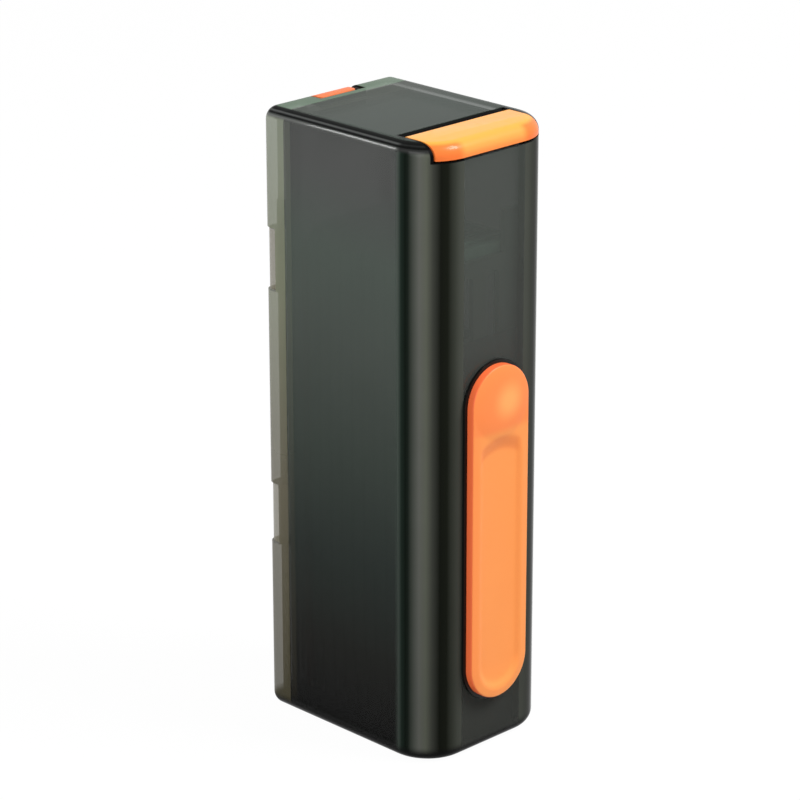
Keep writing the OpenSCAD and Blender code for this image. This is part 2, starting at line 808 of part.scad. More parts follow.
module rear_door() {
    color(tan_smoke)
    difference() {
        union() {
            difference() {
                span([door_left_x, door_y, door_bottom_z], [door_right_x, rear_y, door_top_z]);
                translate([hinge_x, hinge_y, 0])
                    cylinder(r = rear_corner_r + door_gap, h = case_h);
            }
            translate([0, door_y + eps, 0])
                rotate([90, 0, 0])
                    linear_extrude(door_rim_h + eps)
                        rim_plan(rim_left_x, rim_right_x, door_bottom_z + door_rim_end,
                                 door_top_z - door_rim_end, door_rim_w);
            for (z = knuckle_zs) {
                translate([hinge_x, hinge_y, z - knuckle_h / 2])
                    cylinder(r = knuckle_r, h = knuckle_h);
                span([hinge_x, door_y - knuckle_web_d, z - knuckle_h / 2],
                     [rim_left_x, hinge_y + knuckle_r, z + knuckle_h / 2]);
            }
            span([latch_pocket_left_x - stem_wall, pocket_y - stem_wall, pocket_bottom_z - stem_floor],
                 [latch_pocket_right_x + stem_wall, door_y + eps, door_top_z]);
        }
        span([latch_pocket_left_x, pocket_y, pocket_bottom_z],
             [latch_pocket_right_x, stem_y + stem_t + stem_gap, door_top_z + 1]);
        translate([hinge_x, hinge_y, 0])
            cylinder(r = door_pin_r + pin_gap, h = case_h);
    }
}

module latch_tab() {
    tab_z = case_h - tab_t;
    color(orange)
    union() {
        intersection() {
            outer_form();
            span([tab_left_x, tab_front_y, tab_z], [tab_right_x, rear_y + 1, case_h + 1]);
        }
        span([tab_x - stem_w / 2, stem_y, stem_bottom_z],
             [tab_x + stem_w / 2, stem_y + stem_t, tab_z + eps]);
    }
}

module follower_plate() {
    w = follower_half_w;
    y1 = follower_y + follower_t;
    mid_z = (lower_spring_z + upper_spring_z) / 2;
    color(orange)
    difference() {
        union() {
            span([-w, follower_y, follower_bottom_z], [w, y1, follower_top_z]);
            for (z = [lower_spring_z, upper_spring_z])
                translate([0, y1 + spigot_len, z])
                    rotate([90, 0, 0])
                        cylinder(r = spigot_r, h = spigot_len + eps);
        }
        for (s = [-1, 1])
            round_slot(s * w / 2, mid_z - window_h / 2, mid_z + window_h / 2, window_r,
                       follower_y - 1, y1 + 1);
    }
}

// Spring: rings of six points along a coil that widens towards the door
spring_rings = 8 * spring_turns;

function coil_point(t) =
    let (a = 360 * spring_turns * t, r = spring_small_r + (spring_large_r - spring_small_r) * t)
    [r * cos(a), spring_y0 + (spring_y1 - spring_y0) * t, r * sin(a)];

function coil_ring(i) =
    let (
        t = i / spring_rings,
        a = 360 * spring_turns * t,
        c = coil_point(t),
        out = [cos(a), 0, sin(a)]
    )
    [for (k = [0 : 5]) c + spring_wire_r * (cos(60 * k) * out + sin(60 * k) * [0, 1, 0])];

function coil_points() = [for (i = [0 : spring_rings]) each coil_ring(i)];

function coil_sides() = [
    for (i = [0 : spring_rings - 1], k = [0 : 5])
        let (a = 6 * i + k, b = 6 * i + (k + 1) % 6)
        each [[a, b, b + 6], [a, b + 6, a + 6]]
];

function coil_cap(i, flip) = [
    for (k = [1 : 4]) flip ? [6 * i, 6 * i + k + 1, 6 * i + k] : [6 * i, 6 * i + k, 6 * i + k + 1]
];

function coil_faces() = concat(coil_cap(0, true), coil_sides(), coil_cap(spring_rings, false));

// Least gap between one turn and the next, measured on points of the coil
function turn_gap(t) = norm(coil_point(t + 1 / spring_turns) - coil_point(t)) - 2 * spring_wire_r;

coil_gap = min([for (i = [0 : 4 : spring_rings - 8]) turn_gap(i / spring_rings)]);
echo(spring_least_gap_mm = coil_gap);

module follower_spring(z) {
    color(steel)
        translate([0, 0, z])
            polyhedron(points = coil_points(), faces = coil_faces(), convexity = 6);
}

case_shell();
magazine_liner();
guide_plate();
lid_hinge_pin();
door_hinge_pin();
flip_lid();
slider_pad();
slider_carriage();
slider_sled();
pick(1);  // front_pick
floss(1);  // front_pick_floss
rear_door();
latch_tab();
follower_plate();
follower_spring(upper_spring_z);  // upper_follower_spring
follower_spring(lower_spring_z);  // lower_follower_spring
stack_floss_strands();
for (i = [2 : pick_count])
    pick(i);
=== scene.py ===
"""Looks of the pop-up floss pick box: smoke case, orange slider, lid and latch, picks inside.

The frame is the CAD model's: +Z up, and the front with the slider at -Y. The pieces' sizes are in
millimetres and become metres when a piece is done. The studio's are in metres.
"""

from __future__ import annotations

import logging
import math
from collections.abc import Callable, Iterable
from dataclasses import dataclass
from enum import Enum

import bmesh
import bpy
from mathutils import Matrix, Vector


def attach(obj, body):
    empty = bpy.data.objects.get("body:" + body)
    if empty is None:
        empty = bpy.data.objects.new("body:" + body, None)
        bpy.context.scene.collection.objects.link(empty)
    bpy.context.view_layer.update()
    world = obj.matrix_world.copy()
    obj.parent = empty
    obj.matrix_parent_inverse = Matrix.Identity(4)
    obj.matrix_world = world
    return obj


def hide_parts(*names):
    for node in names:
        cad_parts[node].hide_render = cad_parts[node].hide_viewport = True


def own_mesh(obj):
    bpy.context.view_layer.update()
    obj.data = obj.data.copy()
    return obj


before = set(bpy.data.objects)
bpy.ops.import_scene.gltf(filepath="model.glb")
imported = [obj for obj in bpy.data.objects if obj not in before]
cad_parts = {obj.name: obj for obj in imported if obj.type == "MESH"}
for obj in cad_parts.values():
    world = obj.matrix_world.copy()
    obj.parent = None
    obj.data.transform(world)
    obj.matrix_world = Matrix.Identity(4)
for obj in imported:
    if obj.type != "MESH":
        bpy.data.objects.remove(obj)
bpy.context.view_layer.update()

LOG = logging.getLogger("floss_pick_box")
MM = 0.001
Colour = tuple[float, float, float]
Point = tuple[float, float, float]
Stops = tuple[tuple[float, str], ...]
UNLIT: Colour = (0.0, 0.0, 0.0)
UPRIGHT = 0.9  # share of a direction along an axis from which it counts as lying along it
NEAR = 0.01
WELD = 0.0001
BEYOND = 40.0  # a place well outside the box, sideways
ABOVE = 200.0  # a place well above it


def linear(code: str) -> Colour:
    """Linear colour of a web colour.

    Args:
        code: six hexadecimal digits.

    Returns:
        Red, green and blue as light, from 0 to 1.
    """
    shares = [int(code[i:i + 2], 16) / 255 for i in (0, 2, 4)]
    return tuple(s / 12.92 if s <= 0.04045 else ((s + 0.055) / 1.055) ** 2.4 for s in shares)


class Wire:
    """A shader socket that takes part in Python arithmetic."""

    def __init__(self, tree: "Tree", socket: bpy.types.NodeSocket) -> None:
        """Keeps the tree that the socket belongs to."""
        self.tree = tree
        self.socket = socket

    def _maths(self, operation: str, *terms: "Wire | float") -> "Wire":
        """A Math node on these terms."""
        return self.tree.node("ShaderNodeMath", {"operation": operation}, dict(enumerate(terms)))

    def __add__(self, other: "Wire | float") -> "Wire":
        """Sum."""
        return self._maths("ADD", self, other)

    __radd__ = __add__

    def __mul__(self, other: "Wire | float") -> "Wire":
        """Product."""
        return self._maths("MULTIPLY", self, other)

    __rmul__ = __mul__

    def __sub__(self, other: "Wire | float") -> "Wire":
        """Difference."""
        return self._maths("SUBTRACT", self, other)

    def __rsub__(self, other: float) -> "Wire":
        """Difference from a number."""
        return self._maths("SUBTRACT", other, self)

    def __truediv__(self, other: "Wire | float") -> "Wire":
        """Quotient."""
        return self._maths("DIVIDE", self, other)

    def __pow__(self, other: float) -> "Wire":
        """Power."""
        return self._maths("POWER", self, other)

    def __abs__(self) -> "Wire":
        """Size without its sign."""
        return self._maths("ABSOLUTE", self)

    def larger(self, other: "Wire | float") -> "Wire":
        """The larger of two."""
        return self._maths("MAXIMUM", self, other)

    def rise(self, start: float, end: float) -> "Wire":
        """0 before start, 1 after end, and a soft step between them."""
        settings = {"interpolation_type": "SMOOTHSTEP"}
        return self.tree.node("ShaderNodeMapRange", settings, {0: self, 1: start, 2: end})

    def band(self, start: float, end: float, soft: float) -> "Wire":
        """1 between start and end, with soft sides of that width outside them."""
        return self.rise(start - soft, start) * (1 - self.rise(end, end + soft))


class Tree:
    """The nodes of one material, or of the sky."""

    def __init__(self, owner: bpy.types.Material | bpy.types.World) -> None:
        """Empties the nodes of a material or a world.

        Args:
            owner: what the nodes belong to.
        """
        self.owner = owner
        owner.use_nodes = True
        owner.node_tree.nodes.clear()

    def finish(self, shader: Wire, kind: str = "ShaderNodeOutputMaterial") -> None:
        """Leads a shader to an output of that kind."""
        self.node(kind, inputs={0: shader}, output=None)

    def seen(self) -> Wire:
        """1 for rays from the camera, a mirror or clear plastic, and 0 for others."""
        rays = self.node("ShaderNodeLightPath").socket.node.outputs
        camera, glossy, clear = (Wire(self, rays[f"Is {kind} Ray"])
                                 for kind in ("Camera", "Glossy", "Transmission"))
        return camera.larger(glossy).larger(clear)

    def node(self, kind: str, settings: dict | None = None, inputs: dict | None = None,
             output: int | str | None = 0) -> Wire | None:
        """Adds a node.

        Args:
            kind: type of the node.
            settings: its own properties; a key "stops" holds a ramp's places and colours.
            inputs: value or wire of each socket, by name or number.
            output: the output that is wanted, or None.

        Returns:
            That output.
        """
        node = self.owner.node_tree.nodes.new(kind)
        for key, value in (settings or {}).items():
            if key == "stops":
                self._set_stops(node.color_ramp, value)
            else:
                setattr(node, key, value)
        for key, value in (inputs or {}).items():
            if isinstance(value, Wire):
                self.owner.node_tree.links.new(value.socket, node.inputs[key])
            else:
                node.inputs[key].default_value = value
        return None if output is None else Wire(self, node.outputs[output])

    @staticmethod
    def _set_stops(ramp: bpy.types.ColorRamp, stops: list[tuple[float, Colour]]) -> None:
        """Sets up a colour ramp.

        Args:
            ramp: the new ramp.
            stops: its places and colours.
        """
        while len(ramp.elements) < len(stops):
            ramp.elements.new(1.0)
        for element, (place, colour) in zip(ramp.elements, stops):
            element.position = place
            element.color = (*colour, 1.0)

    def mix(self, share: Wire | float, first: Wire | Colour, second: Wire | Colour) -> Wire:
        """Colour between two, where a share of 1 is the second."""
        ends = [c if isinstance(c, Wire) else (*c, 1.0) for c in (first, second)]
        return self.node("ShaderNodeMix", {"data_type": "RGBA", "clamp_factor": True},
                         {0: share, 6: ends[0], 7: ends[1]}, 2)

    def ramp(self, place: Wire, stops: Stops) -> Wire:
        """Colour that changes with a value, from stops of a place and a web colour."""
        colours = [(position, linear(code)) for position, code in stops]
        return self.node("ShaderNodeValToRGB", {"stops": colours}, {0: place})


class Surface(Tree):
    """The nodes of a piece's material, with its place x, y and z in millimetres."""

    def __init__(self, name: str) -> None:
        """Starts a material.

        Args:
            name: its name.
        """
        super().__init__(bpy.data.materials.new(name))
        place = self.node("ShaderNodeTexCoord", output="Object")
        self.place = self.node("ShaderNodeVectorMath", {"operation": "SCALE"},
                               {0: place, "Scale": 1 / MM})
        split = self.node("ShaderNodeSeparateXYZ", inputs={0: self.place}).socket.node
        self.x, self.y, self.z = (Wire(self, socket) for socket in split.outputs)

    def noise(self, size: float, detail: float = 2.0, stretch: Point = (1, 1, 1)) -> Wire:
        """Noise from 0 to 1.

        Args:
            size: width of its patches, in millimetres.
            detail: octaves.
            stretch: how many times longer the patches are along each axis.

        Returns:
            The noise.
        """
        scale = tuple(1 / (size * s) for s in stretch)
        place = self.node("ShaderNodeMapping", inputs={0: self.place, "Scale": scale})
        return self.node("ShaderNodeTexNoise", inputs={0: place, "Scale": 1.0, "Detail": detail})

    def bump(self, height: Wire, distance: float) -> Wire:
        """Normal of a relief of that depth in metres."""
        values = {"Height": height, "Distance": distance, "Strength": 1.0}
        return self.node("ShaderNodeBump", inputs=values)


@dataclass(frozen=True)
class Plastic:
    """Moulded plastic: a colour that drifts a little, fine grain and small handling marks."""

    name: str
    slot: str
    colour: Colour
    roughness: float = 0.25
    specular: float = 0.5
    drift: float = 0.12
    grain: float = 0.00001
    grain_size: float = 0.35
    alpha: float = 1.0
    coat: float = 0.0
    coat_roughness: float = 0.03
    drift_size: float = 6.0
    mark_size: float = 1.6
    mark_roughness: float = 0.06

    def base(self, tree: Surface) -> Wire:
        """Base colour over the surface."""
        low, high = (tuple(min(1.0, c * (1 + change)) for c in self.colour)
                     for change in (-self.drift, self.drift))
        return tree.mix(tree.noise(self.drift_size, 3.0), low, high)

    def alphas(self, tree: Surface) -> Wire | float:
        """Opacity over the surface."""
        return self.alpha

    def coats(self, tree: Surface) -> Wire | float:
        """Weight of the polished skin over the surface."""
        return self.coat

    def shader(self, tree: Surface) -> Wire:
        """The plastic's own shader.

        Args:
            tree: the nodes of its material.

        Returns:
            The shader.
        """
        marks = tree.noise(self.mark_size, 4.0).rise(0.45, 0.75)
        relief = tree.bump(tree.noise(self.grain_size, 2.0), self.grain)
        return tree.node("ShaderNodeBsdfPrincipled", inputs={
            "Base Color": self.base(tree),
            "Roughness": self.roughness + self.mark_roughness * marks,
            "Specular IOR Level": self.specular, "Alpha": self.alphas(tree),
            "Coat Weight": self.coats(tree), "Coat Roughness": self.coat_roughness,
            "Normal": relief})

    def material(self) -> bpy.types.Material:
        """The finished material."""
        tree = Surface(self.name)
        tree.finish(self.shader(tree))
        return tree.owner


@dataclass(frozen=True)
class Metal(Plastic):
    """Drawn steel: fine lines along the wire and a bright, slightly uneven skin."""

    line_size: float = 0.12
    line_length: float = 12.0
    line_roughness: float = 0.12

    def shader(self, tree: Surface) -> Wire:
        """The metal's own shader."""
        lines = tree.noise(self.line_size, 2.0, (1, 1, self.line_length))
        return tree.node("ShaderNodeBsdfPrincipled", inputs={
            "Base Color": self.base(tree), "Metallic": 1.0,
            "Roughness": self.roughness + self.line_roughness * lines,
            "Normal": tree.bump(lines, self.grain)})


@dataclass(frozen=True)
class SmokePart(Plastic):
    """Clear smoke plastic with hardly any grain."""

    grain: float = 0.000002
    grain_size: float = 2.0


@dataclass(frozen=True)
class SmokeCase(Plastic):
    """The case's smoke plastic: painted reflection and shade in its front corners and top edges,
    painted shade and more opacity to the foot.
    """

    half_width: float = 13.1
    front: float = -17.1
    rear: float = 17.1
    corner: float = 7.0
    height: float = 94.0
    edge: float = 2.0
    strip_start: float = 12.2
    dense: float = 0.985
    mouth_side: float = 10.85
    mouth_rear: float = -8.35
    mouth_low: float = 91.15
    side_start: float = 11.1
    side_full: float = 11.6
    soft: float = 0.1
    foot_shade: float = 0.22
    corner_shade: float = 0.85
    cloud: float = 0.16
    cloud_size: float = 9.0
    # Painted light: the wall, front and strip ramps run from painted shade at the foot to lighter
    # colour at the top.
    wall_painted_light_stops: Stops = ((0.0, "191A19"), (0.04, "1E1F1E"), (0.15, "292A27"), (0.31, "343C38"),
                  (0.48, "465049"), (0.64, "58615A"), (0.80, "626D65"), (0.93, "666866"))
    front_painted_light_stops: Stops = ((0.0, "4A4C48"), (0.30, "4A4C46"), (0.65, "4C4E4A"), (1.0, "535953"))
    strip_painted_light_stops: Stops = ((0.0, "5C5743"), (0.40, "7B7663"), (0.75, "93987F"), (1.0, "A0A894"))
    # Painted light on the roof: lighter over the rear strip, where light comes through the walls.
    roof_painted_light_stops: Stops = ((0.0, "363F39"), (0.55, "3A463E"), (0.852, "3C443B"), (0.86, "5E7660"),
                  (1.0, "667C66"))
    # Painted reflection in the front corners: light and dark bands round the turn.
    corner_painted_reflection_stops: Stops = ((0.12, "4A544D"), (0.20, "1E2B24"), (0.29, "0D1810"), (0.35, "1A221C"),
                    (0.44, "4A4F48"), (0.56, "6C6E68"), (0.67, "666A5E"), (0.766, "42443E"),
                    (0.855, "13160F"), (0.924, "171A12"), (0.976, "3A3D36"), (1.0, "4C4F48"))
    # Painted reflection on the rounded top edge: a pale painted highlight band and dark bands.
    rim_painted_reflection_stops: Stops = ((0.25, "565856"), (0.46, "70726F"), (0.56, "3C403D"), (0.60, "0C0E0D"),
                 (0.68, "101211"), (0.766, "5A5C5B"), (0.84, "0A0D0B"), (0.95, "020403"),
                 (1.0, "3A403C"))

    def turn(self, tree: Surface) -> Wire:
        """How far round a front corner a point is: 0 at the side wall and 1 at the front."""
        return (self.front + self.corner - tree.y) / self.corner

    def rise(self, tree: Surface) -> Wire:
        """How far up the rounded top edge a point is: 0 at the wall and 1 at the roof."""
        return (tree.z - (self.height - self.edge)) / self.edge

    def at_corner(self, tree: Surface) -> Wire:
        """1 in the two rounded front corners."""
        start = self.half_width - self.corner
        beside = abs(tree.x).rise(start - self.soft, start + self.soft)
        return beside * self.turn(tree).rise(0.0, 0.16)

    def at_roof(self, tree: Surface) -> Wire:
        """1 on the flat top."""
        return tree.z.rise(self.height - 0.08, self.height - 0.02)

    def at_rim(self, tree: Surface) -> Wire:
        """1 in the rounded top edge."""
        return self.rise(tree).rise(0.2, 0.45)

    def at_foot(self, tree: Surface) -> Wire:
        """1 in the rounded lower edge."""
        return 1 - tree.z.rise(1.0, 2.6)

    def at_strip(self, tree: Surface) -> Wire:
        """1 behind the inner box, where light comes through the walls."""
        return tree.y.rise(self.strip_start - self.soft, self.strip_start + self.soft)

    def at_mouth(self, tree: Surface) -> Wire:
        """1 on the edges round the lid."""
        above = tree.z.rise(self.mouth_low, self.mouth_low + self.soft)
        behind = tree.y.rise(self.mouth_rear, self.mouth_rear + self.soft)
        beside = abs(tree.x).rise(self.mouth_side, self.mouth_side + self.soft)
        return above * (1 - behind) * (1 - beside)

    def base(self, tree: Surface) -> Wire:
        """Base colour over the surface.

        Args:
            tree: the nodes of the material.

        Returns:
            The colour.
        """
        up = tree.z / self.height
        at_front = 1 - tree.y.rise(self.front + 0.02, self.front + 0.2)
        # Painted light by height: painted shade towards the foot, lighter towards the top.
        colour = tree.mix(at_front, tree.ramp(up, self.wall_painted_light_stops), tree.ramp(up, self.front_painted_light_stops))
        colour = tree.mix(self.at_strip(tree), colour, tree.ramp(up, self.strip_painted_light_stops))
        # Painted reflection bands round the front corners, with painted shade deepening to the
        # foot.
        depth = tree.ramp(self.turn(tree), self.corner_painted_reflection_stops)
        depth = tree.mix((1 - up) * self.foot_shade, depth, UNLIT)
        colour = tree.mix(self.at_corner(tree), colour, depth)
        # Painted highlight and dark reflection bands up the top edge, and painted shade where it
        # turns round the front corners.
        rim = tree.ramp(self.rise(tree), self.rim_painted_reflection_stops)
        rim = tree.mix(self.corner_shade * self.at_corner(tree), rim, linear("0A0B0A"))
        colour = tree.mix(self.at_rim(tree), colour, rim)
        # Painted light on the roof, lighter over the rear strip.
        along = (tree.y - self.front) / (self.rear - self.front)
        colour = tree.mix(self.at_roof(tree), colour, tree.ramp(along, self.roof_painted_light_stops))
        # Painted shade: the rounded lower edge is made near black.
        colour = tree.mix(self.at_foot(tree), colour, linear("0A0A0A"))
        # Painted shade: the edges round the lid are made near black.
        colour = tree.mix(self.at_mouth(tree), colour, linear("080808"))
        return tree.mix(self.cloud * tree.noise(self.cloud_size, 3.0), colour, UNLIT)

    def alphas(self, tree: Surface) -> Wire:
        """Opacity over the surface: dense where reflection and shade are painted, in the front
        corners, top edges and foot.

        Args:
            tree: the nodes of the material.

        Returns:
            The opacity.
        """
        roof = self.at_roof(tree)
        rim = self.at_rim(tree) * (1 - roof)
        side = roof * abs(tree.x).rise(self.side_start, self.side_full)
        # thick marks where reflection and shade are painted: the front corners, the top edges and
        # the foot.
        thick = self.at_corner(tree).larger(self.at_foot(tree)).larger(rim).larger(0.9 * side)
        plain = self.alpha + 0.12 * self.at_strip(tree) + 0.16 * roof
        return plain + thick * (self.dense - plain)

    def coats(self, tree: Surface) -> Wire:
        """Weight of the polished skin: none in the front corners, where reflection and shade are
        painted, and little at the foot.

        Args:
            tree: the nodes of the material.

        Returns:
            The weight.
        """
        # thick marks the front corners and the foot, where reflection and shade are painted.
        thick = self.at_corner(tree).larger(self.at_foot(tree)) * (1 - self.at_rim(tree))
        shine = self.coat * (0.1 + 0.9 * tree.z.rise(4, 70))
        return shine * (1 - 0.8 * self.rise(tree).rise(0.56, 0.6)) * (1 - 0.92 * thick)


@dataclass(frozen=True)
class ThumbOrange(Plastic):
    """The pad's satin orange: painted shade on its wall, left side, dome and under its brow, and a
    painted highlight on its crown.
    """

    radius: float = 5.75
    low: float = 8.5
    high: float = 60.1
    wall_painted_shade_colour: Colour = linear("FF7440")
    shade_colour: Colour = linear("F98A46")
    crown_painted_highlight_colour: Colour = linear("FFAA60")
    dome_painted_shade_colour: Colour = linear("FF8646")

    # Place and reach of the painted highlight on the crown.
    crown_x: float = 1.2
    crown_z: float = 54.6
    crown_reach: float = 3.8
    dome_low: float = 49.5
    dome_full: float = 51.0
    dome_share: float = 0.75
    left_painted_shade_share: float = 0.4
    shade_low: float = 47.6
    shade_high: float = 48.9
    shade_share: float = 0.6
    bow: float = 0.07

    def base(self, tree: Surface) -> Wire:
        """Base colour over the surface.

        Args:
            tree: the nodes of the material.

        Returns:
            The colour.
        """
        above, below = tree.z - (self.high - self.radius), self.low + self.radius - tree.z
        over = above.larger(below).larger(0.0)
        out = (tree.x * tree.x + over * over) ** 0.5
        off_x, off_z = tree.x - self.crown_x, tree.z - self.crown_z
        crown = 1 - ((off_x * off_x + off_z * off_z) ** 0.5).rise(0.4, self.crown_reach)
        dome = tree.z.rise(self.dome_low, self.dome_full)
        # Painted shade over the dome and down the pad's left side.
        side = (1 - tree.x.rise(-5.6, -3.0)) * self.left_painted_shade_share
        painted_shade_share = (self.dome_share * dome).larger(side)
        colour = tree.mix(painted_shade_share, super().base(tree), self.dome_painted_shade_colour)
        # Painted highlight on the crown of the dome.
        colour = tree.mix(dome * crown, colour, self.crown_painted_highlight_colour)
        # Painted shade under the brow.
        under = (tree.z + tree.x * tree.x * self.bow).band(self.shade_low, self.shade_high, 0.8)
        under = under * (1 - abs(tree.x).rise(3.4, 4.6))
        colour = tree.mix(under * self.shade_share, colour, self.shade_colour)
        # Painted shade on the pad's wall.
        return tree.mix(out.rise(self.radius - 0.12, self.radius - 0.03), colour, self.wall_painted_shade_colour)


@dataclass(frozen=True)
class LidOrange(Plastic):
    """The lid's polished orange: painted light on its flat top, painted shade down its front and at
    its ends.
    """

    bottom: float = 91.6
    thick: float = 2.4
    end_start: float = 5.4
    end_full: float = 7.2
    end_share: float = 0.85
    cloud: float = 0.12
    cloud_size: float = 5.0
    end_painted_shade_colour: Colour = linear("F2702E")
    # Painted light by height: darker low on the front, lighter on the top.
    stops: Stops = ((0.0, "FF8A40"), (0.35, "FF9E4C"), (0.8, "FFA648"), (1.0, "FFAC40"))

    def base(self, tree: Surface) -> Wire:
        """Base colour over the surface.

        Args:
            tree: the nodes of the material.

        Returns:
            The colour.
        """
        # Painted light by height, lighter on the top.
        shade = tree.ramp((tree.z - self.bottom) / self.thick, self.stops)
        # Painted shade on the lid's ends below its top.
        end = abs(tree.x).rise(self.end_start, self.end_full) * (1 - tree.z.rise(93.5, 93.95))
        shade = tree.mix(end * self.end_share, shade, self.end_painted_shade_colour)
        return tree.mix(self.cloud * tree.noise(self.cloud_size, 3.0), shade, self.colour)


class Finish(Enum):
    """The finishes of the box and of what is inside."""

    CASE = SmokeCase("smoke_case_skin", "smoke_case", linear("4A4C48"), 0.08, 0.03, alpha=0.56,
                     coat=0.3, grain=0.000001, grain_size=3.0)
    LINER = SmokePart("dark_liner", "dark_smoke", linear("2B2E2C"), 0.3, 0.1, alpha=0.58)
    GUIDE = SmokePart("guide_plate", "guide_smoke", linear("7C8278"), 0.3, 0.1, alpha=0.7)
    DOOR = SmokePart("olive_door", "door_smoke", linear("8C8670"), 0.12, 0.3, alpha=0.6)
    SLED = SmokePart("sled_smoke", "dark_smoke", linear("2A2E2A"), 0.3, 0.1, alpha=0.75)
    LID = LidOrange("lid_orange", "orange_gloss", linear("FF9A50"), 0.3, 0.15, coat=0.12)
    ORANGE = Plastic("tab_orange", "orange_satin", linear("E87440"), 0.42, 0.2)
    PAD = ThumbOrange("pad_orange", "orange_satin", linear("FF9A50"), 0.42, 0.3, drift=0.03)
    # The carriage is black, and its edge beside the pad also stands in for the pad's shadow and
    # reflection on the case.
    BLACK = Plastic("carriage_black_and_shadow", "black", linear("0C0C0B"), 0.4, 0.2)
    STEEL = Metal("pin_steel", "steel", linear("C8C8CC"), 0.22)
    PICK = Plastic("pick_green", "pick_plastic", linear("9FC4AE"), 0.22)
    FLOSS = Plastic("floss_white", "floss", linear("E8EAE6"), 0.6, 0.1, grain=0.00003)


MATERIALS: dict[Finish, bpy.types.Material] = {}


def dress(obj: bpy.types.Object, finish: Finish) -> None:
    """Gives an object one finish.

    Args:
        obj: a new piece or a CAD node.
        finish: the finish of its whole surface.
    """
    if finish not in MATERIALS:
        MATERIALS[finish] = finish.value.material()
    slots = obj.material_slots
    if not slots:
        obj.data.materials.append(MATERIALS[finish])
    for slot in slots:
        slot.material = MATERIALS[finish]


def smooth(start: float, end: float, value: float) -> float:
    """0 at start, 1 at end, and a soft step between them."""
    share = min(1.0, max(0.0, (value - start) / (end - start)))
    return share * share * (3 - 2 * share)


